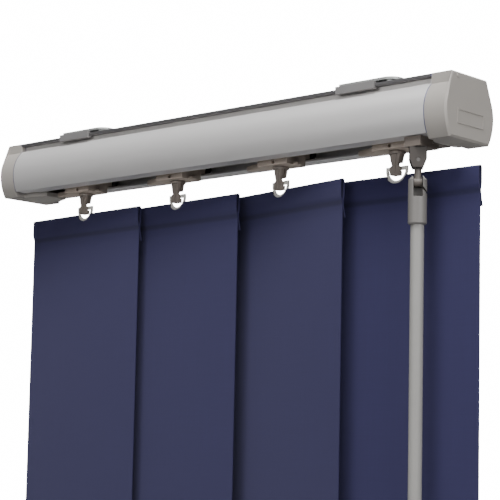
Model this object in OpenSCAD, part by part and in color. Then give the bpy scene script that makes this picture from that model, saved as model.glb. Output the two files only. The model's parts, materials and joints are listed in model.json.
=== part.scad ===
// Vertical blind: bulged headrail on two ceiling clips, four fabric vanes on geared carriers,
// and a wand that turns the vanes and draws them to the left.
// The row is drawn in millimetres: X along the headrail, Y to the back, Z up.
// Origin: midway between the two clip screws, on the ceiling plane.

/* [Headrail] */
// Length of the headrail over both end caps
rail_l = 417; // [410:1:1200]
// Height of the end caps, from their foot to the top flange
cap_h = 41; // [40:0.5:42.5]
// Half of the headrail's greatest width
bulge_w = 26; // [25:0.5:28]
// From the shoulder under the top flange down to the widest place
bulge_drop = 17.5; // [16:0.5:19]
// Radius of the upper part of the bulged face
upper_r = 22.3; // [21.5:0.1:24]
// Radius of the lower part of the bulged face
lower_r = 32.5; // [30:0.5:36]
// Wall of the extrusion
rail_wall = 1.6; // [1.2:0.1:2]
// Half of the top flange's width
flange_w = 18.5; // [17.5:0.5:19.5]
// Thickness of the top flange
flange_t = 2; // [1.5:0.1:2.5]
// Height of the groove under the top flange
groove_h = 4; // [3.5:0.1:5]
// Depth of that groove
groove_d = 4; // [3:0.1:5]
// Width of the slot in the underside
slot_w = 21; // [20.5:0.1:22]
// Height of the extrusion's underside above the end cap's foot
rail_lift = 3.5; // [3:0.1:4]

/* [End caps] */
// Length of each end cap along the headrail
cap_l = 16; // [14:0.5:18]
// Wall of the end cap
cap_wall = 2; // [1.5:0.1:2.5]
// Reach of the plug inside the extrusion
plug_l = 4; // [3:0.5:4.5]
// Reach of the left cap's foot plate along the slot
foot_left = 21; // [12:0.5:22]
// Reach of the right cap's foot plate
foot_right = 4; // [3:0.5:4.5]
// Chamfer round the end face
cap_chamfer = 1.2; // [0.6:0.1:1.6]
// Width of the plain raised frame on the end face
frame_w = 28; // [20:1:30]
// Height of that frame
frame_h = 9.4; // [7:0.2:11]

/* [Ceiling clips] */
// From the left end of the headrail to the left clip's screw
clip_inset_left = 100; // [95:1:120]
// From the right end of the headrail to the right clip's screw
clip_inset_right = 52; // [45:1:60]
// Radius of the screw hole
screw_r = 2.5; // [2:0.1:3]
// Thickness of the ceiling plate
plate_t = 1.8; // [1.5:0.1:2.2]
// Length of the ceiling plate
plate_l = 44; // [40:1:50]
// Width of the ceiling plate
plate_w = 36; // [30:1:37]
// Thickness of the hook strip
hook_t = 1.4; // [1.2:0.1:1.8]
// Width of the hook strip along the headrail
hook_w = 31; // [26:1:34]
// Radius of the plate's two round corners
corner_r = 8; // [5:0.5:12]
// Radius of the rivets that join plate and strip
rivet_r = 2; // [1.6:0.1:2.4]

/* [Carriers] */
// From the right end of the headrail to the lead carrier's stem
lead_setback = 55.3; // [54:0.1:58]
// From the left end of the headrail to the first carrier's stem
tail_setback = 70.7; // [70:0.1:76]
// Half of the carrier housing's length
housing_l = 13; // [12.5:0.5:14]
// Half of the carrier housing's width
housing_w = 14; // [13.5:0.5:14.5]
// Height of the housing's top above the end cap's foot
housing_top = 22; // [21.5:0.5:24]
// Length of the pointed tongue
tongue_l = 17; // [12:1:18]
// Radius of a wheel
wheel_r = 5; // [4.5:0.1:5.2]
// Width of a wheel
wheel_w = 4; // [3.5:0.1:4.2]
// Radius of a wheel axle
axle_r = 1.5; // [1.2:0.1:1.7]
// From the stem to each wheel axle
axle_x = 9.8; // [9.5:0.1:10.4]

/* [Tilt gear] */
// Pitch radius of the gear
gear_r = 4.2; // [4.1:0.05:4.3]
// Face width of the gear
gear_t = 2.2; // [1.8:0.1:2.4]
// Mean radius of the worm
worm_r = 3.3; // [3.25:0.05:3.4]
// Half of the worm thread's depth
thread_h = 0.6; // [0.5:0.05:0.6]
// Radius of the tilt rod
rod_r = 2.2; // [2:0.05:2.2]
// Height of the tilt rod above the end cap's foot
rod_z = 16; // [15.8:0.1:16.4]
// Radius of the stem's shaft
shaft_r = 2.6; // [2.2:0.1:2.8]

/* [Vanes] */
// Width of a vane
vane_w = 127; // [110:1:127]
// Drop of a vane
vane_drop = 600; // [450:10:2000]
// Thickness of the fabric
cloth_t = 0.6; // [0.4:0.05:0.7]
// Top of the vane below the end cap's foot
vane_top = 15.4; // [14.8:0.1:16]
// Height of the top pocket, fold to weld
pocket_h = 15.5; // [14:0.5:18]
// Half of the top pocket's thickness
pocket_r = 1.7; // [1.5:0.1:1.8]
// Free tail of fabric below the weld
tail_h = 9.5; // [6:0.5:12]
// How far the tail stands off the vane
tail_flare = 2.2; // [1.2:0.1:2.4]
// Height of the bottom hem
hem_h = 36; // [30:1:45]
// Turn of the first vane to the headrail
turn_1 = -4.4; // [-7:0.1:-4.4]
// Turn of the second vane
turn_2 = -4.9; // [-7:0.1:-4.7]
// Turn of the third vane
turn_3 = -10.5; // [-11:0.1:-6]
// Turn of the lead vane
turn_4 = -1; // [-4:0.1:0]

/* [Hangers] */
// Half of the hanger ring's width
ring_w = 8.5; // [8:0.1:9]
// Thickness of the hanger
hanger_t = 1.2; // [1:0.1:1.4]
// From each side edge of the vane to the end of the hanger's strip
hanger_inset = 8.5; // [6:0.5:20]
// From each side edge of the vane to the end of its bottom weight
weight_inset = 4; // [3:0.5:10]

/* [Wand] */
// From the lead stem to the wand, along the headrail
wand_x = 27; // [26.5:0.1:27.5]
// Radius of the wand's rod
wand_r = 4.2; // [3.8:0.1:4.3]
// Radius of the wand's sleeve
sleeve_r = 5.8; // [5.6:0.05:6]
// Height of the wand's lower end below the end cap's foot
wand_end = 500; // [400:10:1500]
// Pitch radius of the two spur gears
spur_r = 3.75; // [3.7:0.05:3.8]
// Length of the wand's sleeve
sleeve_l = 30; // [29:0.5:36]
// Length of the grip on the wand's lower end
grip_l = 78; // [60:1:100]
// Radius of the joint pins
pin_r = 1.25; // [1:0.05:1.4]

/* [Clearances] */
// Radial clearance of a running fit
run_gap = 0.05; // [0.02:0.01:0.08]
// Clearance between moving faces
move_gap = 0.3; // [0.3:0.05:0.5]
// Clearance of a loose seat
seat_gap = 0.15; // [0.1:0.05:0.2]

/* [Hidden] */
$fn = 48;

// How far a cut runs past the face that it opens, and how far joined shapes overlap
past = 1;
lap = 0.1;

// Places along the headrail
clip_spacing = rail_l - clip_inset_left - clip_inset_right;
left_x = -clip_spacing / 2 - clip_inset_left;
right_x = clip_spacing / 2 + clip_inset_right;
lead_x = right_x - lead_setback;
carriers = 4;
carrier_pitch = (rail_l - lead_setback - tail_setback) / (carriers - 1);
function carrier_x(k) = lead_x - carrier_pitch * (carriers - k);
function turn_of(k) = [turn_1, turn_2, turn_3, turn_4][k - 1];

// Heights: the drawing is made from the end cap's foot upwards, then hung under the ceiling
clip_h = hook_t + plate_t;
drop_z = cap_h + clip_h;
shoulder_z = cap_h - flange_t - groove_h;
bulge_z = shoulder_z - bulge_drop;
lip_z = rail_lift + rail_wall;
slot_half = slot_w / 2;
neck_gap = 1;
neck_w = slot_half - neck_gap;
flange_root = flange_w - groove_d;

// End cap: plug, foot, bearing for the rod, and marks on the end face
plug_wall = 1.4;
plug_in = rail_wall + seat_gap;
foot_side = 4;
foot_w = neck_w + foot_side;
bearing_wall = 2;
bearing_base = 1.5;
emboss = 0.35;
frame_line = 1;
frame_z = 13.8;
dot_r = 1.2;
dot_y = -13.5;
dot_drop = 2.8;

// Ceiling clip, from its screw
rivet_x = [-20, -32];
plate_nose = 7;
spare_x = 0.5;
spare_y = -13.5;
spare_r = 2.2;
hook_gap = 7.5;
hook_from = -hook_w - hook_gap;
hook_play = 1;
hook_lip = groove_d - hook_play;

// Rod, worm and gears
gear_teeth = 11;
worm_turns = 4;
worm_facets = 16;
rod_y = -(gear_r + worm_r);
worm_pitch = 2 * PI * gear_r / gear_teeth;
worm_l = worm_pitch * worm_turns;
worm_out_r = worm_r + thread_h;
gear_tip = 0.25;
gear_root = 0.9;
gear_play = 0.5;
gear_out_r = gear_r + gear_tip;
gear_root_r = gear_r - gear_root;
gear_room = gear_out_r + gear_play;
tooth_root = 0.55;
tooth_mid = 0.4;
tooth_tip = 0.2;
key_w = 0.9;
key_h = 0.5;

// Carrier: wheels, tongue, tab and sink
axle_z = lip_z + wheel_r + run_gap;
wheel_gap = 0.6;
wheel_y = housing_w + wheel_gap;
rim_w = 1.4;
dish = 0.8;
tongue_root = 6.5;
tongue_tip = 1.5;
tab_l = 4;
tab_w = 6;
tab_t = 1.5;
sink_r = 1.3;
sink_x = 0.6;
sink_z = 2;
sink_d = 4;

// Stem: collar, prongs and foot, under the carrier
collar_r = 5.4;
collar_t = 1.6;
collar_z = -move_gap - collar_t;
prong_t = 2;
prong_top = 4.6;
prong_neck = 3.3;
prong_low = 2.4;
prong_z = -6.8;
waist_z = -9.4;
rear_top = 4.2;
rear_z = -7.5;
toe_w = 4;
toe_h = 3.3;
toe_in = 2.8;
toe_out = 0.8;
toe_bevel = 1;
rib_t = 0.6;
rib_top = 1.4;
rib_low = 0.9;

// Hanger: bar, ring and strip
ring_rise = 3.5;
ring_z = ring_rise - vane_top;
bar_sink = 0.6;
bar_low = ring_z - bar_sink;
bar_h = 2.5;
ring_wall = 1.6;
horn_gap = 3.6;
horn_h = 1.2;
ring_top = bar_low + bar_h;
foot_sink = 0.5;
foot_z = ring_top - foot_sink;
strip_h = 10;
strip_part = 0.7;

// Vane: pocket, weld and hem
vane_low = -vane_top - vane_drop;
fold_z = -vane_top - pocket_r;
weld_z = -vane_top - pocket_h;
pocket_taper = 4.5;
half_cloth = cloth_t / 2;
notch_gap = 0.4;
notch_r = ring_w + notch_gap;
hem_r = 1.5;
hem_taper = 7.2;
weight_t = 1.4;
strip_rise = 3.5;
strip_low = weld_z + strip_rise;

// Spacer strips, one lane for each
lane_t = 0.4;
lane_w = 4;
lane_y = 11.4;
lane_z = 18.4;
lane_step = 0.8;
lane_gap = 5;
lane_end = 2;
lane_reach = carrier_pitch - lane_gap;

// Mitre gears where the rod meets the drive shaft
mitre_n = 10;
mitre_big = 5.6;
mitre_small = 3.2;
mitre_root = 0.9;
mitre_tooth = 0.9;
mitre_tip = 0.5;
mitre_play = 0.9;
mitre_room = mitre_big + mitre_play;

// Spur gears between the drive shaft and the wand's fork
spur_n = 10;
spur_t = 3;
spur_z = -1;
spur_root = 0.85;
spur_tip = 0.5;
spur_play = 1;
spur_room = spur_r + spur_play;
drive_r = 1.6;
wand_y = rod_y - 2 * spur_r;
wand_at = lead_x + wand_x;

// Lead unit beside the last carrier
unit_gap = 0.4;
unit_from = housing_l + unit_gap;
unit_body = axle_x + wheel_r + move_gap;
unit_wall = 1.2;
unit_end = 7.2;
unit_to = wand_x + unit_end;
unit_low = -3;
ear_wall = 2.2;
unit_ear = spur_r + ear_wall;

// Wand's universal joint: heights from the end cap's foot
joint_turn = 40;
fork_pin_z = -11.2;
link_pin_z = -24.6;
fork_w = 10.6;
fork_d = 10.4;
fork_low = 4.8;
fork_shoulder = 0.6;
fork_toe = 3.2;
link_w = 5.2;
link_r = 2.2;
link_gap = link_w + 2 * move_gap;
eye_wall = 1.45;
eye_r = pin_r + eye_wall;
eye_room = eye_r + move_gap;

// Wand: sleeve, rod and grip
sleeve_rise = 3.8;
sleeve_top = link_pin_z + sleeve_rise;
sleeve_end = sleeve_top - sleeve_l;
sleeve_lip = 0.8;
sleeve_taper = 2.4;
mouth_drop = 9.3;
mouth_low = link_pin_z - mouth_drop;
slit_drop = 3.1;
slit_z = link_pin_z - slit_drop;
slit_w = 1.7;
socket_l = 14;
grip_wall = 1;
grip_r = wand_r + grip_wall;
grip_base = 4;
grip_neck = 5;
neck_wall = 0.2;
neck_r = wand_r + run_gap + neck_wall;

module hung() {
  translate([0, 0, -drop_z]) children();
}

// Bulged outline of the headrail between two heights, drawn thinner by inset
module bulge_2d(inset, low, high) {
  upper_c = bulge_w - upper_r;
  lower_c = bulge_w - lower_r;
  wide = 2 * bulge_w;
  intersection() {
    union() {
      for (side = [-1, 1]) translate([side * upper_c, bulge_z]) circle(r = upper_r - inset, $fn = 96);
    }
    translate([-bulge_w, bulge_z]) square([wide, high - bulge_z]);
  }
  intersection() {
    translate([lower_c, bulge_z]) circle(r = lower_r - inset, $fn = 96);
    translate([-lower_c, bulge_z]) circle(r = lower_r - inset, $fn = 96);
    translate([-bulge_w, low]) square([wide, bulge_z - low]);
  }
}

module box_2d(half, low, high) {
  translate([-half, low]) square([2 * half, high - low]);
}

// Extrude an outline drawn in Y and Z along X
module along_x(from, length) {
  translate([from, 0, 0]) rotate([90, 0, 90]) linear_extrude(length) children();
}

module headrail() color("#bcb9bd") hung() along_x(left_x + cap_l, rail_l - 2 * cap_l) {
  difference() {
    union() {
      bulge_2d(0, rail_lift, shoulder_z);
      box_2d(flange_root, shoulder_z - rail_wall, cap_h);
      box_2d(flange_w, cap_h - flange_t, cap_h);
    }
    bulge_2d(rail_wall, lip_z, shoulder_z - rail_wall);
    box_2d(flange_root - rail_wall, bulge_z, cap_h - flange_t);
    box_2d(slot_half, rail_lift - past, lip_z + past);
  }
}

module cap_outline(inset) {
  bulge_2d(inset, inset, shoulder_z);
  box_2d(flange_w - inset, bulge_z, cap_h - inset);
}

// End cap drawn with its end face at X = 0 and the headrail towards +X
module end_cap(foot) {
  shell = cap_l - cap_wall;
  sliver = 0.01;
  hollow = plug_in + plug_wall;
  difference() {
    union() {
      hull() {
        along_x(0, sliver) cap_outline(cap_chamfer);
        along_x(cap_chamfer, sliver) cap_outline(0);
      }
      along_x(cap_chamfer, cap_l - cap_chamfer) cap_outline(0);
      along_x(cap_l, plug_l) difference() {
        bulge_2d(plug_in, lip_z + seat_gap, shoulder_z - plug_in);
        bulge_2d(hollow, lip_z + plug_wall, shoulder_z - hollow);
      }
      translate([cap_l, 0, 0]) linear_extrude(rail_lift - seat_gap)
        polygon([[-lap, -foot_w], [foot / 2, -foot_w], [foot, -neck_w],
          [foot, neck_w], [foot / 2, foot_w], [-lap, foot_w]]);
    }
    along_x(cap_wall, shell + sliver) bulge_2d(hollow, lip_z + plug_wall, shoulder_z - plug_in);
  }
  // Bearing that carries the tilt rod's end
  translate([cap_wall - lap, rod_y, rod_z]) rotate([0, 90, 0]) difference() {
    cylinder(r = rod_r + bearing_wall, h = shell - past);
    translate([0, 0, bearing_base + lap]) cylinder(r = rod_r + run_gap, h = shell);
  }
  // Plain raised frame on the end face and a small round dot above it
  translate([-emboss, -frame_w / 2, frame_z - frame_h / 2]) difference() {
    cube([emboss + lap, frame_w, frame_h]);
    translate([-past, frame_line, frame_line])
      cube([3 * past, frame_w - 2 * frame_line, frame_h - 2 * frame_line]);
  }
  translate([-emboss, dot_y, cap_h - dot_drop]) rotate([0, 90, 0]) cylinder(r = dot_r, h = emboss + lap);
}

module end_cap_left() color("#a09b94") hung() translate([left_x, 0, 0]) end_cap(foot_left);
module end_cap_right() color("#a09b94") hung() translate([right_x, 0, 0]) mirror([1, 0, 0])
  end_cap(foot_right);

// Round rod with three key grooves
module rod_2d(gap) {
  difference() {
    circle(r = rod_r + gap);
    for (i = [0:2]) rotate(i * 120) translate([rod_r - key_h + gap, -key_w / 2 + gap])
      square([rod_r, key_w - 2 * gap]);
  }
}

// Grooved between the caps, with a plain journal in each bearing
module tilt_rod() color("#c4c4c6") hung() {
  start = cap_wall + bearing_base + move_gap;
  grooved = cap_l + past;
  translate([left_x + grooved, rod_y, rod_z]) rotate([0, 90, 0])
    linear_extrude(rail_l - 2 * grooved) rod_2d(0);
  for (x = [left_x + start, right_x - grooved]) translate([x, rod_y, rod_z]) rotate([0, 90, 0])
    cylinder(r = rod_r, h = grooved - start);
}

// Ceiling clip, drawn with its screw at X = 0
module clip_plate(x) color("#9aa39a") translate([x + plate_nose - plate_l, 0, -plate_t]) difference() {
  union() {
    translate([0, -plate_w / 2, 0]) cube([plate_l - corner_r, plate_w, plate_t]);
    translate([0, corner_r - plate_w / 2, 0]) cube([plate_l, plate_w - 2 * corner_r, plate_t]);
    for (side = [-1, 1]) translate([plate_l - corner_r, side * (plate_w / 2 - corner_r), 0])
      cylinder(r = corner_r, h = plate_t);
  }
  translate([plate_l - plate_nose, 0, -past]) {
    cylinder(r = screw_r, h = plate_t + 2 * past);
    translate([spare_x, spare_y, 0]) cylinder(r = spare_r, h = plate_t + 2 * past);
    for (rx = rivet_x) translate([rx, 0, 0]) cylinder(r = rivet_r + run_gap, h = plate_t + 2 * past);
  }
}

// Strip bent round both edges of the headrail's top flange
module clip_hook(x) color("#7d857d") hung() difference() {
  out = flange_w + seat_gap;
  low = cap_h - flange_t - seat_gap - hook_t;
  union() {
    along_x(x + hook_from, hook_w) box_2d(out + hook_t, cap_h, cap_h + hook_t);
    for (side = [0, 1]) mirror([0, side, 0]) {
      along_x(x + hook_from, hook_w) translate([out, low]) square([hook_t, cap_h - low + lap]);
      along_x(x + hook_from, hook_w) translate([flange_w - hook_lip, low])
        square([hook_lip + seat_gap + lap, hook_t]);
    }
  }
  for (rx = rivet_x) translate([x + rx, 0, cap_h - past])
    cylinder(r = rivet_r + run_gap, h = hook_t + 2 * past);
}

module clip_plate_left() clip_plate(-clip_spacing / 2);
module clip_plate_right() clip_plate(clip_spacing / 2);
module clip_hook_left() clip_hook(-clip_spacing / 2);
module clip_hook_right() clip_hook(clip_spacing / 2);

module clip_rivets() color("#8e958e") for (side = [-1, 1], rx = rivet_x)
  translate([side * clip_spacing / 2 + rx, 0, -clip_h]) cylinder(r = rivet_r, h = clip_h);

// Carrier, drawn with its stem on the Z axis
module carrier_body() {
  cavity_floor = rod_z - gear_t / 2 - move_gap;
  trough_l = worm_l + 2 * move_gap;
  trough_r = worm_out_r + move_gap;
  through = 2 * (housing_l + past);
  difference() {
    union() {
      translate([-housing_l, -housing_w, lip_z + move_gap])
        cube([2 * housing_l, 2 * housing_w, housing_top - lip_z - move_gap]);
      translate([-housing_l, -neck_w, 0]) cube([2 * housing_l, 2 * neck_w, lip_z + past]);
      linear_extrude(rail_lift - move_gap) polygon([
        [past - housing_l, -tongue_root], [-housing_l - tongue_l, -tongue_tip],
        [-housing_l - tongue_l, tongue_tip], [past - housing_l, tongue_root]]);
      translate([housing_l - past, -tab_w / 2, 0]) cube([tab_l + past, tab_w, tab_t]);
    }
    // Stem bore and the gear's cavity, open at the top
    translate([0, 0, -past]) cylinder(r = shaft_r + run_gap, h = cavity_floor + 2 * past);
    translate([0, 0, cavity_floor]) cylinder(r = gear_room, h = housing_top);
    // Trough for the worm and passage for the rod
    translate([-trough_l / 2, rod_y, rod_z]) rotate([0, 90, 0]) cylinder(r = trough_r, h = trough_l);
    translate([-trough_l / 2, rod_y - trough_r, rod_z]) cube([trough_l, 2 * trough_r, housing_top]);
    translate([-through / 2, rod_y, rod_z]) rotate([0, 90, 0]) cylinder(r = rod_r + move_gap, h = through);
    // Axle bores
    for (side = [-1, 1]) translate([side * axle_x, housing_w + past, axle_z]) rotate([90, 0, 0])
      cylinder(r = axle_r + run_gap, h = 2 * (housing_w + past));
    // Passage for the spacer strips
    translate([-through / 2, lane_y - lane_w / 2 - seat_gap, lane_z - 2 * seat_gap])
      cube([through, lane_w + 2 * seat_gap, 2 * lane_step + lane_t + 4 * seat_gap]);
    // Round sink in the front of the foot
    translate([sink_x, -neck_w - past, sink_z]) rotate([-90, 0, 0]) cylinder(r = sink_r, h = sink_d + past);
  }
}

module carrier(k) color("#7a736c") hung() translate([carrier_x(k), 0, 0]) carrier_body();

// Two dished wheels on their axle
module wheels(k, side) color("#3c3b3a") hung()
  translate([carrier_x(k) + side * axle_x, 0, axle_z]) rotate([90, 0, 0]) {
    cylinder(r = axle_r, h = 2 * wheel_y + past, center = true);
    for (end = [-1, 1]) translate([0, 0, end * (wheel_y + wheel_w / 2)]) difference() {
      cylinder(r = wheel_r, h = wheel_w, center = true);
      translate([0, 0, end * wheel_w / 2]) cylinder(r = wheel_r - rim_w, h = 2 * dish, center = true);
    }
  }

// Single thread cut as a round bar set off its axis and twisted
module worm(k) color("#d8d4c8") hung() translate([carrier_x(k), rod_y, rod_z]) rotate([0, 90, 0])
  difference() {
    translate([0, 0, -worm_l / 2])
      linear_extrude(worm_l, twist = 360 * worm_turns, slices = 9 * worm_turns, $fn = worm_facets)
        translate([0, -thread_h]) circle(r = worm_r, $fn = worm_facets);
    translate([0, 0, -worm_l]) linear_extrude(2 * worm_l) rod_2d(run_gap);
  }

// Gear with narrow teeth: one points straight at the worm
module stem_gear() {
  translate([0, 0, rod_z]) linear_extrude(gear_t, center = true) {
    circle(r = gear_root_r);
    for (i = [0:gear_teeth - 1]) rotate(i * 360 / gear_teeth - 90)
      polygon([[0, -tooth_root], [gear_r, -tooth_mid], [gear_out_r, -tooth_tip],
               [gear_out_r, tooth_tip], [gear_r, tooth_mid], [0, tooth_root]]);
  }
}

// Upright plate of the stem, from an outline in X and Z
module prong(y, thick) {
  translate([0, y, 0]) rotate([90, 0, 0]) linear_extrude(thick) children();
}

// Stem with its gear, two prongs and the toe that the hanger's bar rests on
module stem(k) color("#7d766f") hung() translate([carrier_x(k), 0, 0]) {
  stem_gear();
  cylinder(r = shaft_r, h = rod_z);
  translate([0, 0, collar_z]) cylinder(r = collar_r, h = collar_t);
  translate([0, 0, collar_z + lap]) cylinder(r = shaft_r, h = -collar_z);
  rotate([0, 0, turn_of(k)]) {
    slot = hanger_t / 2 + seat_gap;
    root_z = collar_z + collar_t / 2;
    toe_low = bar_low - toe_h;
    bevel = toe_low + toe_bevel;
    // Long front prong, drawn in to a waist above its T-shaped foot
    prong(-slot, prong_t) polygon([
      [-prong_top, root_z], [-prong_neck, prong_z], [-prong_low, waist_z], [-toe_w, foot_z],
      [-toe_w, bevel], [toe_bevel - toe_w, toe_low], [toe_w - toe_bevel, toe_low], [toe_w, bevel],
      [toe_w, foot_z], [prong_low, waist_z], [prong_neck, prong_z], [prong_top, root_z]]);
    // Raised rib down the front prong
    prong(lap - slot - prong_t, rib_t + lap) polygon([
      [-rib_top, root_z], [-rib_low, bevel], [rib_low, bevel], [rib_top, root_z]]);
    // Toe through the ring, under the hanger's bar
    translate([-toe_in, -slot - lap, toe_low])
      cube([2 * toe_in, 2 * slot + toe_out + lap, toe_h - 2 * seat_gap]);
    // Short rear prong
    prong(slot + prong_t, prong_t) polygon([
      [-rear_top, root_z], [-prong_low, rear_z], [prong_low, rear_z], [rear_top, root_z]]);
  }
}

// Hanger: D-shaped ring with two horns, on a long strip that lies in the vane's pocket
module hanger(k) color("#dcd9cf", 0.9) hung() translate([carrier_x(k), 0, 0]) rotate([0, 0, turn_of(k)])
  translate([0, hanger_t / 2, 0]) rotate([90, 0, 0]) {
    outer = ring_w + lap;
    strip_l = vane_w - 2 * hanger_inset;
    linear_extrude(hanger_t) difference() {
      union() {
        box_2d(ring_w, ring_z - ring_wall, ring_top);
        intersection() {
          translate([0, ring_z]) circle(r = outer);
          box_2d(ring_w, ring_z - outer, ring_z);
        }
      }
      intersection() {
        translate([0, ring_z]) circle(r = ring_w - ring_wall);
        box_2d(ring_w, ring_z - 2 * ring_w, bar_low);
      }
      box_2d(horn_gap, ring_top - horn_h, ring_top + past);
    }
    translate([0, 0, hanger_t * (1 - strip_part) / 2]) linear_extrude(hanger_t * strip_part) difference() {
      box_2d(strip_l / 2, strip_low, strip_low + strip_h);
      translate([0, ring_z]) circle(r = ring_w - ring_wall / 4);
    }
  }

// Loop of cloth, round at the fold and drawn in to one thickness at its other end
module loop_2d(r, from, mid, to) {
  inner = r - cloth_t;
  difference() {
    union() {
      translate([0, from]) circle(r = r);
      polygon([[-r, from], [-r, mid], [-half_cloth, to], [half_cloth, to], [r, mid], [r, from]]);
    }
    translate([0, from]) circle(r = inner);
    polygon([[-inner, from], [-inner, mid], [0, to + (mid - to) / 4], [inner, mid], [inner, from]]);
  }
}

module tail_2d() {
  tip = half_cloth + tail_flare;
  polygon([[0, weld_z + lap], [half_cloth, weld_z + lap], [tip, weld_z - tail_h],
           [tip - cloth_t, weld_z - tail_h], [0, weld_z - tail_h / 5]]);
}

// Vane: a folded and welded top pocket with a free tail, a plain sheet, and a bottom hem
module vane(k) color("#2d375a") hung() translate([carrier_x(k), 0, 0]) rotate([0, 0, turn_of(k)])
  difference() {
    union() {
      along_x(-vane_w / 2, vane_w) loop_2d(pocket_r, fold_z, weld_z + pocket_taper, weld_z);
      along_x(-vane_w / 2, vane_w) tail_2d();
      along_x(-vane_w / 2, vane_w)
        box_2d(half_cloth, vane_low + hem_h - lap, weld_z + lap);
      along_x(-vane_w / 2, vane_w)
        loop_2d(hem_r, vane_low + hem_r, vane_low + hem_h - hem_taper, vane_low + hem_h);
    }
    // Notch round the hanger's ring
    translate([0, 0, ring_z]) rotate([90, 0, 0])
      cylinder(r = notch_r, h = 4 * pocket_r, center = true);
  }

module weight(k) color("#8b8d92") hung() translate([carrier_x(k), 0, 0]) rotate([0, 0, turn_of(k)])
  translate([weight_inset - vane_w / 2, -weight_t / 2, vane_low + hem_r])
    cube([vane_w - 2 * weight_inset, weight_t, hem_h - hem_taper - hem_r - past]);

// Spacer strip from a carrier to the next one on its left, one lane for each
module spacer(k) color("#c9cbcd") hung()
  translate([carrier_x(k) - lane_reach, lane_y - lane_w / 2, lane_z + lane_step * (k - 2)])
    cube([lane_reach + housing_l - lane_end, lane_w, lane_t]);

// Mitre gear on the Z axis with its cone's tip at the origin
module mitre(phase) {
  translate([0, 0, -mitre_big])
    cylinder(r1 = mitre_big - mitre_root, r2 = mitre_small - mitre_root, h = mitre_big - mitre_small);
  for (i = [0:mitre_n - 1]) rotate([0, 0, phase + i * 360 / mitre_n])
    rotate([90, 0, 0]) linear_extrude(mitre_tooth, center = true) polygon([
      [0, -mitre_big], [mitre_big - lap, mitre_tip - mitre_big],
      [mitre_small + 2 * lap, mitre_tip - mitre_small - 2 * lap], [0, -mitre_small - 2 * lap]]);
}

module spur(phase) {
  tip = spur_r + spur_tip;
  translate([0, 0, spur_z]) linear_extrude(spur_t) {
    circle(r = spur_r - spur_root);
    for (i = [0:spur_n - 1]) rotate(phase + i * 360 / spur_n)
      polygon([[0, -tooth_root], [spur_r, -tooth_mid], [tip, -tooth_tip],
               [tip, tooth_tip], [spur_r, tooth_mid], [0, tooth_root]]);
  }
}

// Lead unit beside the last carrier: it holds the wand's gears
module wand_carrier() color("#7a736c") hung() translate([lead_x, 0, 0]) {
  difference() {
    union() {
      translate([unit_body, rod_y - mitre_room - unit_wall, lip_z + move_gap])
        cube([unit_to - unit_body, 2 * (mitre_room + unit_wall), housing_top - lip_z - move_gap]);
      translate([unit_from, -neck_w, 0]) cube([unit_to - unit_from, 2 * neck_w, lip_z + past]);
      translate([wand_x - unit_ear, wand_y - unit_ear, unit_low])
        cube([2 * unit_ear, 2 * (spur_r + unit_ear), rail_lift - move_gap - unit_low]);
    }
    // Room for the mitre gears, open at the top
    translate([wand_x - mitre_room, rod_y - mitre_room, rod_z - mitre_room])
      cube([2 * mitre_room, 2 * mitre_room, housing_top]);
    translate([unit_from - past, rod_y, rod_z]) rotate([0, 90, 0])
      cylinder(r = rod_r + move_gap, h = unit_to - unit_from + 2 * past);
    // Drive shaft's bore, the spur gears' room and the fork's bore
    translate([wand_x, rod_y, spur_z]) cylinder(r = drive_r + run_gap, h = rod_z);
    for (y = [rod_y, wand_y]) translate([wand_x, y, spur_z - move_gap])
      cylinder(r = spur_room, h = spur_t + 2 * move_gap);
    translate([wand_x, wand_y, unit_low - past])
      cylinder(r = shaft_r + run_gap, h = spur_z - unit_low + past);
    // Seat for the tab of the carrier beside it
    translate([0, -tab_w / 2 - seat_gap, -seat_gap])
      cube([housing_l + tab_l + seat_gap, tab_w + 2 * seat_gap, tab_t + 2 * seat_gap]);
  }
}

module rod_bevel() color("#d8d4c8") hung() translate([wand_at, rod_y, rod_z]) rotate([0, 90, 0])
  difference() {
    mitre(0);
    translate([0, 0, -2 * mitre_big]) linear_extrude(3 * mitre_big) rod_2d(run_gap);
  }

// Half a tooth's turn sets the drive shaft's gaps against its neighbours' teeth
module drive_shaft() color("#d8d4c8") hung() translate([wand_at, rod_y, 0]) {
  translate([0, 0, rod_z]) mitre(180 / mitre_n);
  translate([0, 0, spur_z]) cylinder(r = drive_r, h = rod_z - mitre_big - spur_z + lap);
  spur(-90);
}

// Place of the wand's universal joint, turned so that the sleeve's mouth looks to the front and right
module at_wand(z) {
  hung() translate([wand_at, wand_y, z]) rotate([0, 0, joint_turn]) children();
}

// Fork of the universal joint, with the spur gear on its shaft
module wand_fork() color("#6f6861") {
  top = unit_low - move_gap;
  half = fork_w / 2;
  hung() translate([wand_at, wand_y, 0]) spur(90 + 180 / spur_n);
  at_wand(top) cylinder(r = shaft_r, h = spur_z + lap - top);
  difference() {
    at_wand(0) translate([0, fork_d / 2, 0]) rotate([90, 0, 0]) linear_extrude(fork_d) polygon([
      [-half, top], [-half, fork_pin_z + fork_shoulder], [-fork_toe, fork_pin_z - fork_low],
      [fork_toe, fork_pin_z - fork_low], [half, fork_pin_z + fork_shoulder], [half, top]]);
    at_wand(fork_pin_z) translate([-fork_w, -link_gap / 2, -fork_w])
      cube([2 * fork_w, link_gap, fork_w + eye_room + lap]);
    at_wand(fork_pin_z) rotate([90, 0, 0]) cylinder(r = pin_r, h = 2 * fork_d, center = true);
  }
}

module fork_pin() color("#a9aaac") at_wand(fork_pin_z) rotate([90, 0, 0])
  cylinder(r = pin_r, h = fork_d - 2 * move_gap, center = true);

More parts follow.
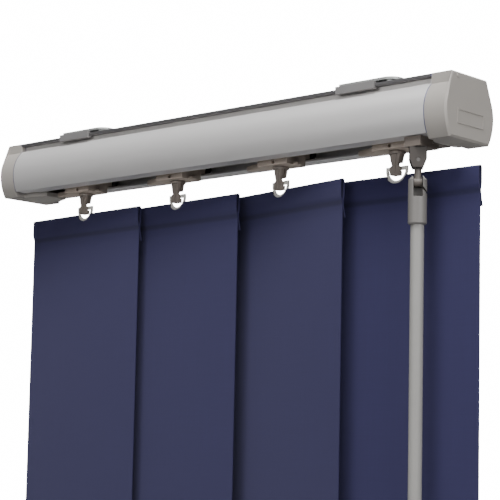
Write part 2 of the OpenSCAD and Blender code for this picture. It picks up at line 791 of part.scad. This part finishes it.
// Link with an eye at each end, the lower eye turned a quarter
module wand_link() color("#8a857e") difference() {
  union() {
    at_wand(fork_pin_z) rotate([90, 0, 0]) cylinder(r = eye_r, h = link_w, center = true);
    at_wand(link_pin_z) cylinder(r = link_r, h = fork_pin_z - link_pin_z);
    at_wand(link_pin_z) rotate([0, 90, 0]) cylinder(r = eye_r, h = link_w, center = true);
  }
  at_wand(fork_pin_z) rotate([90, 0, 0]) cylinder(r = pin_r + run_gap, h = 2 * link_w, center = true);
  at_wand(link_pin_z) rotate([0, 90, 0]) cylinder(r = pin_r + run_gap, h = 2 * link_w, center = true);
}

module link_pin() color("#a9aaac") at_wand(link_pin_z) rotate([0, 90, 0])
  cylinder(r = pin_r, h = 2 * sleeve_r - 2 * move_gap, center = true);

// Sleeve with a mouth for the link, open to one side
module wand_sleeve() color("#97938d") at_wand(0) difference() {
  side = link_gap / 2;
  fall = sleeve_r - side + past;
  rotate_extrude() polygon([
    [0, sleeve_end], [sleeve_r - sleeve_lip, sleeve_end], [sleeve_r, sleeve_end + sleeve_lip],
    [sleeve_r, sleeve_top - sleeve_taper], [sleeve_r - sleeve_taper, sleeve_top], [0, sleeve_top]]);
  translate([-side, -2 * sleeve_r, mouth_low])
    cube([link_gap, 2 * sleeve_r + eye_room, sleeve_l]);
  translate([0, 0, sleeve_end - past]) cylinder(r = wand_r + run_gap, h = socket_l + past);
  translate([0, 0, link_pin_z]) rotate([0, 90, 0]) cylinder(r = pin_r, h = 3 * sleeve_r, center = true);
  // Slanted slit through one wall, so that the wall springs aside when the pin is put in
  translate([0, eye_room, 0]) rotate([90, 0, 0]) linear_extrude(2 * sleeve_r) polygon([
    [side - past, slit_z + past], [side + fall, slit_z - fall],
    [side + fall, slit_z - fall - slit_w], [side - past, slit_z + past - slit_w]]);
}

module wand_rod() color("#97938d") at_wand(grip_base - wand_end)
  cylinder(r = wand_r, h = wand_end - grip_base + sleeve_end + socket_l);

// Round-ended grip on the wand's lower end
module wand_grip() color("#8a857e") at_wand(-wand_end) rotate_extrude() difference() {
  union() {
    intersection() {
      translate([0, grip_r]) circle(r = grip_r);
      square([grip_r, 2 * grip_r]);
    }
    translate([0, grip_r]) square([grip_r, grip_l - grip_r - grip_neck]);
    polygon([[0, grip_l - grip_neck], [grip_r, grip_l - grip_neck], [neck_r, grip_l], [0, grip_l]]);
  }
  translate([0, grip_base]) square([wand_r + run_gap, grip_l]);
}

headrail();
end_cap_left();
end_cap_right();
tilt_rod();
clip_plate_left();
clip_plate_right();
clip_hook_left();
clip_hook_right();
clip_rivets();
for (k = [1:4]) {
  carrier(k);
  wheels(k, -1);
  wheels(k, 1);
  worm(k);
  stem(k);
  hanger(k);
  vane(k);
  weight(k);
}
for (k = [2:4]) {
  spacer(k);
}
wand_carrier();
rod_bevel();
drive_shaft();
wand_fork();
fork_pin();
wand_link();
link_pin();
wand_sleeve();
wand_rod();
wand_grip();
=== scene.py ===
import json
import math

import bpy
from mathutils import Matrix, Vector

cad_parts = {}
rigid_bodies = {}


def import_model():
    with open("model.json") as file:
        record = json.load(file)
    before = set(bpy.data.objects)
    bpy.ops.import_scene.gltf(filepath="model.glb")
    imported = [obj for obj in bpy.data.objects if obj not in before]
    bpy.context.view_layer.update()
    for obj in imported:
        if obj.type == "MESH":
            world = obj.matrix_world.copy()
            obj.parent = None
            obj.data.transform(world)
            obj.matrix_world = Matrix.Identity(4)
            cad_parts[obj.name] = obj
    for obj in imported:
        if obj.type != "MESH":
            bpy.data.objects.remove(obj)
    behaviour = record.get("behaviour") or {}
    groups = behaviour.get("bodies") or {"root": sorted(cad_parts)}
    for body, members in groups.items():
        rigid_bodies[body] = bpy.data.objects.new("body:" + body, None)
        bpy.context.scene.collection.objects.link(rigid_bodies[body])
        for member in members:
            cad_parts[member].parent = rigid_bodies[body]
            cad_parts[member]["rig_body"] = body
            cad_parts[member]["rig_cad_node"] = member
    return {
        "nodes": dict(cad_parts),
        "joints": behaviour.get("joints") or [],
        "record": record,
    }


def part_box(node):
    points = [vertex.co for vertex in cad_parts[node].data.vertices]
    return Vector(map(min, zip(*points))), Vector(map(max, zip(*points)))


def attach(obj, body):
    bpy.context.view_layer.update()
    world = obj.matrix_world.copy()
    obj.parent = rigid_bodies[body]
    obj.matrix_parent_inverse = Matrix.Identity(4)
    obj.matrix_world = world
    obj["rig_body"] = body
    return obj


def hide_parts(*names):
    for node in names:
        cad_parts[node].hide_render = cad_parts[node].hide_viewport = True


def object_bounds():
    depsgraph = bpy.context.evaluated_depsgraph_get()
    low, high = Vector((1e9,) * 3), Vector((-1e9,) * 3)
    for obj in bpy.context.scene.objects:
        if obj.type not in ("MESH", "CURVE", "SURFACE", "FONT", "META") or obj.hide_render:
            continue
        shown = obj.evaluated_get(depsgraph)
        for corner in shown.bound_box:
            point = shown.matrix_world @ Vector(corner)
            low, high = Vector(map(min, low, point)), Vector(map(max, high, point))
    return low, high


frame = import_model()
cad_low, cad_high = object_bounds()

# What the frame holds: each node's object, body and material slot
NODES = frame["nodes"]
BODY_OF = {node: body for body, nodes in frame["record"]["behaviour"]["bodies"].items() for node in nodes}
SLOT_OF = {part["node"]: part["material_slot"] for part in frame["record"]["subparts"]}
VANES = (1, 2, 3, 4)

# All sizes are in metres, from these driving values
MM = 0.001

# Camera, fitted to edges of the headrail, the vanes and the wand
CAMERA_PLACE = Vector((0.739, -0.809, -0.236))
CAMERA_YAW = 0.7361
CAMERA_PITCH = 0.10175
CAMERA_ROLL = 0.01998
CAMERA_LENS = 116.8
CAMERA_SENSOR = 36.0
CAMERA_SHIFT_Y = 0.0765

# Room: white to the eye, and as a light it is brighter above than below
WHITE_STRENGTH = 16.0
AMBIENT_RAMP = {"From Min": -0.4, "From Max": 0.9, "To Min": 0.015, "To Max": 0.22}
FLOOR_SIZE = 2.6
FLOOR_DROP = 0.4
FLOOR_LIGHT = (0.56, 0.56, 0.56)
FLOOR_DARK = (0.53, 0.53, 0.53)

# Soft lights: place, target, width and height, power in watts
LIGHTS = {
    "key_softbox": ((0.3, -0.92, 1.84), (0, 0, -0.1), (1.4, 0.9), 78),
    "front_strip": ((0.25, -1.1, 0.14), (0, 0, -0.03), (1.4, 0.2), 4.5),
    "side_softbox": ((1.9, -0.5, 0.7), (0.1, 0, -0.1), (1.2, 1.2), 28),
    "back_softbox": ((-0.9, 1.6, 0.9), (0, 0, -0.2), (1.2, 1.2), 30),
}

# Headrail: its dark top flange, painted light over the shadow in the groove below it, and a painted shadow
# line beside each end cap
FLANGE_T = 2 * MM
FLANGE_COLOUR = (0.16, 0.155, 0.16)
GROOVE_H = 4 * MM
# Painted light: pales the groove where the flange's shadow falls
GROOVE_PAINTED_LIGHT = (0.93, 0.90, 0.88)
GROOVE_EDGE = 0.3 * MM
SEAM_SHADOW_W = 0.6 * MM
# Painted shadow: the dark line in the gap where each end cap meets the rail
SEAM_PAINTED_SHADOW = (0.12, 0.12, 0.25)
SEAM_SHADOW_EDGE = 0.2 * MM

# Cloth of a vane
VANE_W = 127 * MM
VANE_TURNS = {1: -4.4, 2: -4.9, 3: -10.5, 4: -1.0}
CLOTH_T = 0.6 * MM
VANE_COLUMNS = 48
SHEET_ROWS = 60
FOLD_STEPS = 10

# Pocket over the hanger, its weld and the free tail below the weld
POCKET_H = 15.5 * MM
POCKET_R = 1.4 * MM
POCKET_TAPER = 4.5 * MM
POCKET_SWELL = 0.6
WELD_HALF = 0.5 * MM
WELD_W = 2.4 * MM
WELD_COLOUR = (0.0145, 0.014, 0.052)
TAIL_H = 9.5 * MM
TAIL_FLARE = 1.9 * MM
TAIL_BEND = 0.4

# Hem round the weight
HEM_H = 36 * MM
HEM_R = 1.2 * MM
HEM_FLAT = 2 * MM
HEM_SWELL = 0.75

# Round notch in the pocket, for the hanger's ring
NOTCH_R = 8.9 * MM
NOTCH_DEPTH = 12 * MM
NOTCH_SIDES = 64
RING_RISE = 3.5 * MM

# Hard pieces whose edges are rounded, and by how much
SOFT_EDGES = {
    "headrail": 0.25 * MM, "end_cap_left": 0.3 * MM, "end_cap_right": 0.3 * MM,
    "clip_plate_left": 0.3 * MM, "clip_plate_right": 0.3 * MM,
    "clip_hook_left": 0.5 * MM, "clip_hook_right": 0.5 * MM,
    "wand_carrier": 0.4 * MM, "wand_fork": 0.4 * MM, "wand_link": 0.3 * MM, "wand_sleeve": 0.3 * MM,
}
for k in VANES:
    SOFT_EDGES.update({f"carrier_{k}": 0.4 * MM, f"stem_{k}": 0.3 * MM, f"hanger_{k}": 0.25 * MM})
EDGE_SEGMENTS = 2
EDGE_ANGLE = math.radians(38)
SMOOTH_ANGLE = math.radians(50)
FLAT_ANGLE = math.radians(0.5)
MERGE_GAP = 0.002 * MM

# Surface grain: how fine it is, and how far roughness strays from its mean
GRAIN_SCALE = 2600.0
DRAWN_SCALE = 3000.0
DRAWN_STRETCH = (0.004, 1.0, 1.0)
SLUB_SCALE = 900.0
SLUB_STRETCHES = ((1.0, 0.02, 1.0), (0.03, 1.0, 1.0))
WEAVE_THREADS = 9000.0
ROUGHNESS_SPREAD = 0.12

# A mix node's colour sockets come after its number and vector ones
MIX_SHARE, MIX_UNDER, MIX_OVER, MIX_RESULT = 0, 6, 7, 2


def deselect():
    bpy.ops.object.select_all(action="DESELECT")


def activate(piece):
    deselect()
    piece.select_set(True)
    bpy.context.view_layer.objects.active = piece


def apply_modifier(piece, kind, **settings):
    activate(piece)
    modifier = piece.modifiers.new(kind.lower(), kind)
    for name, value in settings.items():
        setattr(modifier, name, value)
    bpy.ops.object.modifier_apply(modifier=modifier.name)


def smooth(piece):
    activate(piece)
    bpy.ops.object.shade_smooth_by_angle(angle=SMOOTH_ANGLE)


# Shader nodes

def new_group(name, inputs, outputs):
    """A shader node group with its sockets, and its two end nodes."""
    tree = bpy.data.node_groups.new(name, "ShaderNodeTree")
    for way, sockets in (("INPUT", inputs), ("OUTPUT", outputs)):
        for label, kind in sockets.items():
            tree.interface.new_socket(name=label, in_out=way, socket_type="NodeSocket" + kind)
    return tree, tree.nodes.new("NodeGroupInput"), tree.nodes.new("NodeGroupOutput")


def node_in(tree, kind, **settings):
    node = tree.nodes.new(kind)
    for name, value in settings.items():
        setattr(node, name, value)
    return node


def feed(tree, socket, value):
    """A socket gets a link where the value is another socket, and a constant otherwise."""
    if isinstance(value, bpy.types.NodeSocket):
        tree.links.new(value, socket)
    else:
        socket.default_value = value


def math_node(tree, operation, *values):
    node = node_in(tree, "ShaderNodeMath", operation=operation)
    for socket, value in zip(node.inputs, values):
        feed(tree, socket, value)
    return node.outputs[0]


def colour_mix(tree, share, under, over):
    node = node_in(tree, "ShaderNodeMix", data_type="RGBA")
    for index, value in ((MIX_SHARE, share), (MIX_UNDER, under), (MIX_OVER, over)):
        feed(tree, node.inputs[index], value)
    return node.outputs[MIX_RESULT]


def noise_node(tree, vector, scale, detail):
    node = node_in(tree, "ShaderNodeTexNoise")
    node.inputs["Detail"].default_value = detail
    feed(tree, node.inputs["Vector"], vector)
    feed(tree, node.inputs["Scale"], scale)
    return node.outputs["Fac"]


def stretched(tree, vector, factors):
    node = node_in(tree, "ShaderNodeVectorMath", operation="MULTIPLY")
    feed(tree, node.inputs[0], vector)
    feed(tree, node.inputs[1], factors)
    return node.outputs[0]


def strayed_roughness(tree, given, noise):
    """The given roughness, moved up and down by a noise."""
    centred = math_node(tree, "SUBTRACT", noise, 0.5)
    stray = math_node(tree, "MULTIPLY", centred, given.outputs["Spread"])
    return math_node(tree, "ADD", stray, given.outputs["Roughness"])


def mottle_group():
    """Two colours mixed by a soft noise."""
    tree, given, made = new_group(
        "mottle",
        {"Vector": "Vector", "Light": "Color", "Dark": "Color", "Scale": "Float"},
        {"Color": "Color"})
    noise = noise_node(tree, given.outputs["Vector"], given.outputs["Scale"], detail=6.0)
    mixed = colour_mix(tree, noise, given.outputs["Dark"], given.outputs["Light"])
    tree.links.new(mixed, made.inputs["Color"])
    return tree


def grain_group():
    """Fine moulded grain: a height for bump and a roughness that varies with it."""
    tree, given, made = new_group(
        "moulded_grain",
        {"Vector": "Vector", "Scale": "Float", "Roughness": "Float", "Spread": "Float"},
        {"Height": "Float", "Roughness": "Float"})
    noise = noise_node(tree, given.outputs["Vector"], given.outputs["Scale"], detail=3.0)
    tree.links.new(noise, made.inputs["Height"])
    tree.links.new(strayed_roughness(tree, given, noise), made.inputs["Roughness"])
    return tree


def drawn_group():
    """Lines drawn along X, as a die leaves them on an extrusion."""
    tree, given, made = new_group(
        "drawn_lines",
        {"Vector": "Vector", "Across": "Float", "Roughness": "Float", "Spread": "Float"},
        {"Height": "Float", "Roughness": "Float"})
    along = stretched(tree, given.outputs["Vector"], DRAWN_STRETCH)
    noise = noise_node(tree, along, given.outputs["Across"], detail=4.0)
    tree.links.new(noise, made.inputs["Height"])
    tree.links.new(strayed_roughness(tree, given, noise), made.inputs["Roughness"])
    return tree


def weave_group():
    """Plain weave on a cloth's own flat coordinates, with thick and thin threads."""
    tree, given, made = new_group(
        "plain_weave",
        {"Vector": "Vector", "Threads": "Float"},
        {"Height": "Float", "Slub": "Float"})
    split = node_in(tree, "ShaderNodeSeparateXYZ")
    tree.links.new(given.outputs["Vector"], split.inputs[0])
    waves = []
    for axis in ("X", "Y"):
        turns = math_node(tree, "MULTIPLY", split.outputs[axis], given.outputs["Threads"])
        waves.append(math_node(tree, "SINE", turns))
    crossing = math_node(tree, "MULTIPLY", *waves)
    tree.links.new(math_node(tree, "MULTIPLY_ADD", crossing, 0.5, 0.5), made.inputs["Height"])
    slubs = []
    for factors in SLUB_STRETCHES:
        threads = stretched(tree, given.outputs["Vector"], factors)
        slubs.append(noise_node(tree, threads, SLUB_SCALE, detail=3.0))
    both = math_node(tree, "ADD", *slubs)
    tree.links.new(math_node(tree, "MULTIPLY", both, 0.5), made.inputs["Slub"])
    return tree


def band_group():
    """A mask that goes from none to full between two distances from a plane."""
    tree, given, made = new_group(
        "band",
        {"Vector": "Vector", "Axis": "Vector", "Centre": "Float", "From": "Float", "To": "Float"},
        {"Mask": "Float"})
    along = node_in(tree, "ShaderNodeVectorMath", operation="DOT_PRODUCT")
    tree.links.new(given.outputs["Vector"], along.inputs[0])
    tree.links.new(given.outputs["Axis"], along.inputs[1])
    offset = math_node(tree, "SUBTRACT", along.outputs["Value"], given.outputs["Centre"])
    ramp = node_in(tree, "ShaderNodeMapRange")
    tree.links.new(math_node(tree, "ABSOLUTE", offset), ramp.inputs["Value"])
    tree.links.new(given.outputs["From"], ramp.inputs["From Min"])
    tree.links.new(given.outputs["To"], ramp.inputs["From Max"])
    tree.links.new(ramp.outputs[0], made.inputs["Mask"])
    return tree


GROUPS = {
    "mottle": mottle_group(),
    "grain": grain_group(),
    "drawn": drawn_group(),
    "weave": weave_group(),
    "band": band_group(),
}


# Finishes

def use_group(tree, name, vector, **values):
    node = tree.nodes.new("ShaderNodeGroup")
    node.node_tree = GROUPS[name]
    tree.links.new(vector, node.inputs["Vector"])
    for label, value in values.items():
        node.inputs[label].default_value = value
    return node


def start_material(name, coordinates, **sockets):
    material = bpy.data.materials.new(name)
    material.use_nodes = True
    tree = material.node_tree
    shader = tree.nodes["Principled BSDF"]
    for label, value in sockets.items():
        shader.inputs[label.replace("_", " ")].default_value = value
    vector = tree.nodes.new("ShaderNodeTexCoord").outputs[coordinates]
    return material, tree, shader, vector


def bump(tree, shader, height, strength, distance):
    node = tree.nodes.new("ShaderNodeBump")
    node.inputs["Strength"].default_value = strength
    node.inputs["Distance"].default_value = distance
    tree.links.new(height, node.inputs["Height"])
    tree.links.new(node.outputs["Normal"], shader.inputs["Normal"])


def plastic(name, light, dark, roughness, scale=60.0):
    material, tree, shader, vector = start_material(name, "Object")
    tint = use_group(tree, "mottle", vector, Light=(*light, 1), Dark=(*dark, 1), Scale=scale)
    skin = use_group(tree, "grain", vector, Scale=GRAIN_SCALE, Roughness=roughness, Spread=ROUGHNESS_SPREAD)
    tree.links.new(tint.outputs["Color"], shader.inputs["Base Color"])
    tree.links.new(skin.outputs["Roughness"], shader.inputs["Roughness"])
    bump(tree, shader, skin.outputs["Height"], strength=0.25, distance=0.05 * MM)
    return material


def metal(name, light, dark, roughness, metallic=1.0):
    material, tree, shader, vector = start_material(name, "Object", Metallic=metallic)
    tint = use_group(tree, "mottle", vector, Light=(*light, 1), Dark=(*dark, 1), Scale=25.0)
    lines = use_group(tree, "drawn", vector, Across=DRAWN_SCALE, Roughness=roughness,
                      Spread=ROUGHNESS_SPREAD)
    tree.links.new(tint.outputs["Color"], shader.inputs["Base Color"])
    tree.links.new(lines.outputs["Roughness"], shader.inputs["Roughness"])
    bump(tree, shader, lines.outputs["Height"], strength=0.08, distance=0.03 * MM)
    return material


def fabric(name, light, dark):
    material, tree, shader, vector = start_material(
        name, "UV", Roughness=0.85, Sheen_Weight=0.15, Sheen_Roughness=0.5, Specular_IOR_Level=0.25)
    weave = use_group(tree, "weave", vector, Threads=WEAVE_THREADS)
    mixed = colour_mix(tree, weave.outputs["Slub"], (*dark, 1), (*light, 1))
    tree.links.new(mixed, shader.inputs["Base Color"])
    bump(tree, shader, weave.outputs["Height"], strength=0.25, distance=0.1 * MM)
    return material


def tint_band(material, colour, coordinates="Object", **band):
    """Lays one more colour over a finish, in a band of its object or of its flat cloth."""
    tree = material.node_tree
    shader = tree.nodes["Principled BSDF"]
    under = shader.inputs["Base Color"].links[0].from_socket
    vector = next(node for node in tree.nodes if node.type == "TEX_COORD").outputs[coordinates]
    mask = use_group(tree, "band", vector, **band).outputs["Mask"]
    tree.links.new(colour_mix(tree, mask, under, (*colour, 1)), shader.inputs["Base Color"])


# The finish of each material slot
MATERIALS = {
    "anodised_rail": metal("satin_anodised_rail", (0.88, 0.865, 0.86), (0.83, 0.815, 0.81), 0.42,
                           metallic=0.62),
    "cap_plastic": plastic("warm_grey_cap", (0.372, 0.349, 0.321), (0.344, 0.321, 0.298), 0.5),
    "rod_aluminium": metal("drawn_rod", (0.75, 0.75, 0.76), (0.66, 0.66, 0.68), 0.3),
    "clip_steel": metal("zinc_plate", (0.42, 0.43, 0.42), (0.37, 0.38, 0.37), 0.45, metallic=0.5),
    # The hook is the clip's zinc steel, painted darker for the shade it sits in
    "hook_steel": metal("zinc_hook_painted_shade", (0.27, 0.262, 0.262), (0.23, 0.222, 0.222), 0.45, metallic=0.3),
    "carrier_plastic": plastic("taupe_carrier", (0.50, 0.42, 0.355), (0.44, 0.37, 0.315), 0.45),
    "wheel_plastic": plastic("black_wheel", (0.05, 0.05, 0.05), (0.035, 0.035, 0.035), 0.4),
    "gear_plastic": plastic("cream_gear", (0.66, 0.62, 0.53), (0.58, 0.54, 0.46), 0.4),
    "stem_plastic": plastic("taupe_stem", (0.29, 0.248, 0.22), (0.25, 0.215, 0.19), 0.42),
    "hanger_plastic": plastic("pale_hanger", (0.88, 0.87, 0.82), (0.80, 0.79, 0.74), 0.35),
    "vane_fabric": fabric("navy_cloth", (0.0245, 0.0225, 0.083), (0.019, 0.0173, 0.066)),
    "weight_steel": metal("painted_weight", (0.35, 0.35, 0.37), (0.3, 0.3, 0.32), 0.5, metallic=0.6),
    "spacer_steel": metal("spacer_strip", (0.6, 0.61, 0.62), (0.52, 0.53, 0.54), 0.25),
    "pin_steel": metal("joint_pin", (0.16, 0.15, 0.145), (0.12, 0.115, 0.11), 0.45, metallic=0.6),
    "wand_plastic": plastic("grey_wand", (0.307, 0.301, 0.29), (0.279, 0.273, 0.262), 0.42, scale=30.0),
}

# Pieces above the wand's rod, each in a darker copy of its plastic: painted shade where they sit less lit
PAINTED_SHADE_FINISH = {
    "wand_carrier": plastic("lead_unit_painted_shade", (0.175, 0.148, 0.129), (0.15, 0.127, 0.111), 0.45),
    "wand_fork": plastic("fork_painted_shade", (0.055, 0.045, 0.039), (0.047, 0.039, 0.034), 0.42),
    "wand_link": plastic("link_painted_shade", (0.16, 0.14, 0.125), (0.135, 0.118, 0.106), 0.42),
    "wand_sleeve": plastic("sleeve_painted_shade", (0.182, 0.174, 0.166), (0.164, 0.157, 0.149), 0.42, scale=30.0),
}


# Nodes with painted shade take their darker copy, the rest their slot's finish
def finish_of(node):
    return PAINTED_SHADE_FINISH.get(node, MATERIALS[SLOT_OF[node]])


def rail_bands():
    """The flange in its own darker tone, painted light over the groove's shadow, and a painted shadow at
    each end.
    """
    low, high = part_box("headrail")
    middle = (low.x + high.x) / 2
    half = (high.x - low.x) / 2
    groove = FLANGE_T + GROOVE_H
    rail = MATERIALS["anodised_rail"]
    # Painted light: the groove is paled to cancel the shadow the flange casts into it
    tint_band(rail, GROOVE_PAINTED_LIGHT, Axis=(0, 0, 1), Centre=high.z, From=groove + GROOVE_EDGE, To=groove)
    tint_band(rail, FLANGE_COLOUR, Axis=(0, 0, 1), Centre=high.z, From=FLANGE_T + GROOVE_EDGE, To=FLANGE_T)
    # Painted shadow: a dark line in the gap where each end cap meets the rail
    tint_band(rail, SEAM_PAINTED_SHADOW, Axis=(1, 0, 0), Centre=middle,
              From=half - SEAM_SHADOW_W - SEAM_SHADOW_EDGE, To=half - SEAM_SHADOW_W)


def weld_band():
    """The pressed line of the weld across the cloth, darker than the weave."""
    low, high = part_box("vane_1")
    profile = cloth_profile(high.z, low.z)
    weld = profile.index((0, high.z - POCKET_H))
    tint_band(MATERIALS["vane_fabric"], WELD_COLOUR, coordinates="UV", Axis=(0, 1, 0),
              Centre=run_lengths(profile)[weld], From=WELD_W, To=WELD_W / 3)


# Pieces

def dress(piece, node):
    """A new piece stands for a CAD node, on its body and with its finish."""
    piece.data.materials.clear()
    piece.data.materials.append(finish_of(node))
    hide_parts(node)
    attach(piece, BODY_OF[node])


def softened(node, width):
    """A merged copy of a CAD solid with its sharp edges rounded, as a moulding or a bent sheet has them."""
    activate(NODES[node])
    bpy.ops.object.duplicate()
    piece = bpy.context.active_object
    piece.name = node + "_form"
    piece.parent = None
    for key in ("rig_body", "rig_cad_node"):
        del piece[key]
    activate(piece)
    bpy.ops.object.mode_set(mode="EDIT")
    bpy.ops.mesh.select_all(action="SELECT")
    bpy.ops.mesh.remove_doubles(threshold=MERGE_GAP)
    bpy.ops.mesh.dissolve_limited(angle_limit=FLAT_ANGLE)
    bpy.ops.object.mode_set(mode="OBJECT")
    apply_modifier(piece, "BEVEL", width=width, segments=EDGE_SEGMENTS, limit_method="ANGLE",
                   angle_limit=EDGE_ANGLE, use_clamp_overlap=True, miter_outer="MITER_ARC")
    smooth(piece)
    apply_modifier(piece, "WEIGHTED_NORMAL", keep_sharp=True, weight=80)
    dress(piece, node)


def half_turn(radius, height):
    """The points inside a half turn, under the height, or over it where the radius is negative."""
    turns = [math.pi * step / FOLD_STEPS for step in range(1, FOLD_STEPS)]
    return [(radius * math.cos(turn), height - radius * math.sin(turn)) for turn in turns]


def cloth_profile(top, low):
    """The cloth's line, as depths and heights, from the hem's loose edge over the pocket to the tail."""
    hem = low + HEM_R + CLOTH_T / 2
    hem_full = low + HEM_SWELL * HEM_H
    hem_top = low + HEM_H
    weld = top - POCKET_H
    pocket_half = weld + POCKET_TAPER / 2
    pocket_full = weld + POCKET_TAPER
    fold = top - POCKET_R - CLOTH_T / 2
    drop = weld - low - HEM_H
    rows = [(0, hem_top + drop * step / SHEET_ROWS) for step in range(1, SHEET_ROWS)]
    return [
        (CLOTH_T, hem_top), (CLOTH_T, hem_top - HEM_FLAT), (HEM_R, hem_full), (HEM_R, hem),
        *half_turn(HEM_R, hem),
        (-HEM_R, hem), (-HEM_R, hem_full), (0, hem_top),
        *rows,
        (0, weld), (-POCKET_SWELL * POCKET_R, pocket_half), (-POCKET_R, pocket_full), (-POCKET_R, fold),
        *half_turn(-POCKET_R, fold),
        (POCKET_R, fold), (POCKET_R, pocket_full), (POCKET_SWELL * POCKET_R, pocket_half),
        (CLOTH_T, weld + WELD_HALF), (CLOTH_T, weld - WELD_HALF),
        (CLOTH_T + TAIL_BEND * TAIL_FLARE, weld - TAIL_H / 2), (CLOTH_T + TAIL_FLARE, weld - TAIL_H),
    ]


def run_lengths(profile):
    """How far each point of a line lies from its start, along the line."""
    lengths = [0.0]
    for (y0, z0), (y1, z1) in zip(profile, profile[1:]):
        lengths.append(lengths[-1] + math.hypot(y1 - y0, z1 - z0))
    return lengths


def vane_cloth(k):
    """One vane's sheet: a grid led along the cloth's line, with its flat size as its UV map."""
    node = f"vane_{k}"
    low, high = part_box(node)
    joint = next(joint for joint in frame["joints"] if joint["child"] == BODY_OF[node])
    centre = Vector(joint["pos_m"])
    turn = math.radians(VANE_TURNS[k])
    place = Matrix.Translation((centre.x, centre.y, 0)) @ Matrix.Rotation(turn, 4, "Z")
    profile = cloth_profile(high.z, low.z)
    lengths = run_lengths(profile)
    deselect()
    bpy.ops.mesh.primitive_grid_add(x_subdivisions=VANE_COLUMNS, y_subdivisions=len(profile) - 1, size=1)
    piece = bpy.context.active_object
    piece.name = f"vane_{k}_cloth"
    flat = {}
    for vertex in piece.data.vertices:
        row, column = divmod(vertex.index, VANE_COLUMNS + 1)
        across = (column / VANE_COLUMNS - 0.5) * VANE_W
        flat[vertex.index] = (across, lengths[row])
        vertex.co = place @ Vector((across, *profile[row]))
    for loop, corner in zip(piece.data.loops, piece.data.uv_layers.active.data):
        corner.uv = flat[loop.vertex_index]
    apply_modifier(piece, "SOLIDIFY", thickness=CLOTH_T, offset=0.0)
    notch_in(piece, place, high.z + RING_RISE)
    smooth(piece)
    dress(piece, node)


def notch_in(piece, place, height):
    """Round notch through both layers of the pocket, for the hanger's ring."""
    deselect()
    bpy.ops.mesh.primitive_cylinder_add(vertices=NOTCH_SIDES, radius=NOTCH_R, depth=NOTCH_DEPTH)
    cutter = bpy.context.active_object
    cutter.data.transform(place @ Matrix.Translation((0, 0, height)) @ Matrix.Rotation(math.pi / 2, 4, "X"))
    apply_modifier(piece, "BOOLEAN", operation="DIFFERENCE", object=cutter, solver="EXACT")
    bpy.data.objects.remove(cutter)


# Camera and studio

def set_camera():
    data = bpy.data.cameras.new("camera")
    camera = bpy.data.objects.new("camera", data)
    bpy.context.scene.collection.objects.link(camera)
    forward = Vector((-math.sin(CAMERA_YAW) * math.cos(CAMERA_PITCH),
                      math.cos(CAMERA_YAW) * math.cos(CAMERA_PITCH), math.sin(CAMERA_PITCH)))
    right = Vector((math.cos(CAMERA_YAW), math.sin(CAMERA_YAW), 0))
    up = right.cross(forward)
    rolled_right = right * math.cos(CAMERA_ROLL) + up * math.sin(CAMERA_ROLL)
    rolled_up = up * math.cos(CAMERA_ROLL) - right * math.sin(CAMERA_ROLL)
    turned = Matrix((rolled_right, rolled_up, -forward)).transposed().to_4x4()
    camera.matrix_world = Matrix.Translation(CAMERA_PLACE) @ turned
    data.sensor_width = CAMERA_SENSOR
    data.lens = CAMERA_LENS
    data.shift_y = CAMERA_SHIFT_Y
    bpy.context.scene.camera = camera


def white_room():
    """A world that the camera sees as white, and that lights the part softly from above."""
    world = bpy.data.worlds.new("studio")
    bpy.context.scene.world = world
    world.use_nodes = True
    tree = world.node_tree
    seen = tree.nodes["Background"]
    seen.inputs["Color"].default_value = (1, 1, 1, 1)
    seen.inputs["Strength"].default_value = WHITE_STRENGTH
    ambient = tree.nodes.new("ShaderNodeBackground")
    split = tree.nodes.new("ShaderNodeSeparateXYZ")
    tree.links.new(tree.nodes.new("ShaderNodeTexCoord").outputs["Generated"], split.inputs[0])
    ramp = tree.nodes.new("ShaderNodeMapRange")
    for label, value in AMBIENT_RAMP.items():
        ramp.inputs[label].default_value = value
    tree.links.new(split.outputs["Z"], ramp.inputs["Value"])
    tree.links.new(ramp.outputs[0], ambient.inputs["Strength"])
    mix = tree.nodes.new("ShaderNodeMixShader")
    tree.links.new(tree.nodes.new("ShaderNodeLightPath").outputs["Is Camera Ray"], mix.inputs[0])
    tree.links.new(ambient.outputs[0], mix.inputs[1])
    tree.links.new(seen.outputs[0], mix.inputs[2])
    tree.links.new(mix.outputs[0], tree.nodes["World Output"].inputs["Surface"])


def area_light(name, place, target, size, power):
    data = bpy.data.lights.new(name, "AREA")
    data.shape = "RECTANGLE"
    data.size, data.size_y = size
    data.energy = power
    light = bpy.data.objects.new(name, data)
    bpy.context.scene.collection.objects.link(light)
    light.location = place
    light.rotation_euler = (Vector(target) - Vector(place)).to_track_quat("-Z", "Y").to_euler()


def pale_floor():
    deselect()
    bpy.ops.mesh.primitive_plane_add(size=FLOOR_SIZE, location=(0, 0, cad_low.z - FLOOR_DROP))
    floor = bpy.context.active_object
    floor.name = "floor"
    material, tree, shader, vector = start_material("pale_floor", "Object", Roughness=0.9)
    tint = use_group(tree, "mottle", vector, Light=(*FLOOR_LIGHT, 1), Dark=(*FLOOR_DARK, 1), Scale=3.0)
    tree.links.new(tint.outputs["Color"], shader.inputs["Base Color"])
    floor.data.materials.append(material)


set_camera()
white_room()
for name, values in LIGHTS.items():
    area_light(name, *values)
pale_floor()

rail_bands()
weld_band()
for node, piece in NODES.items():
    piece.data.materials.clear()
    piece.data.materials.append(finish_of(node))
for node, width in SOFT_EDGES.items():
    softened(node, width)
for k in VANES:
    vane_cloth(k)
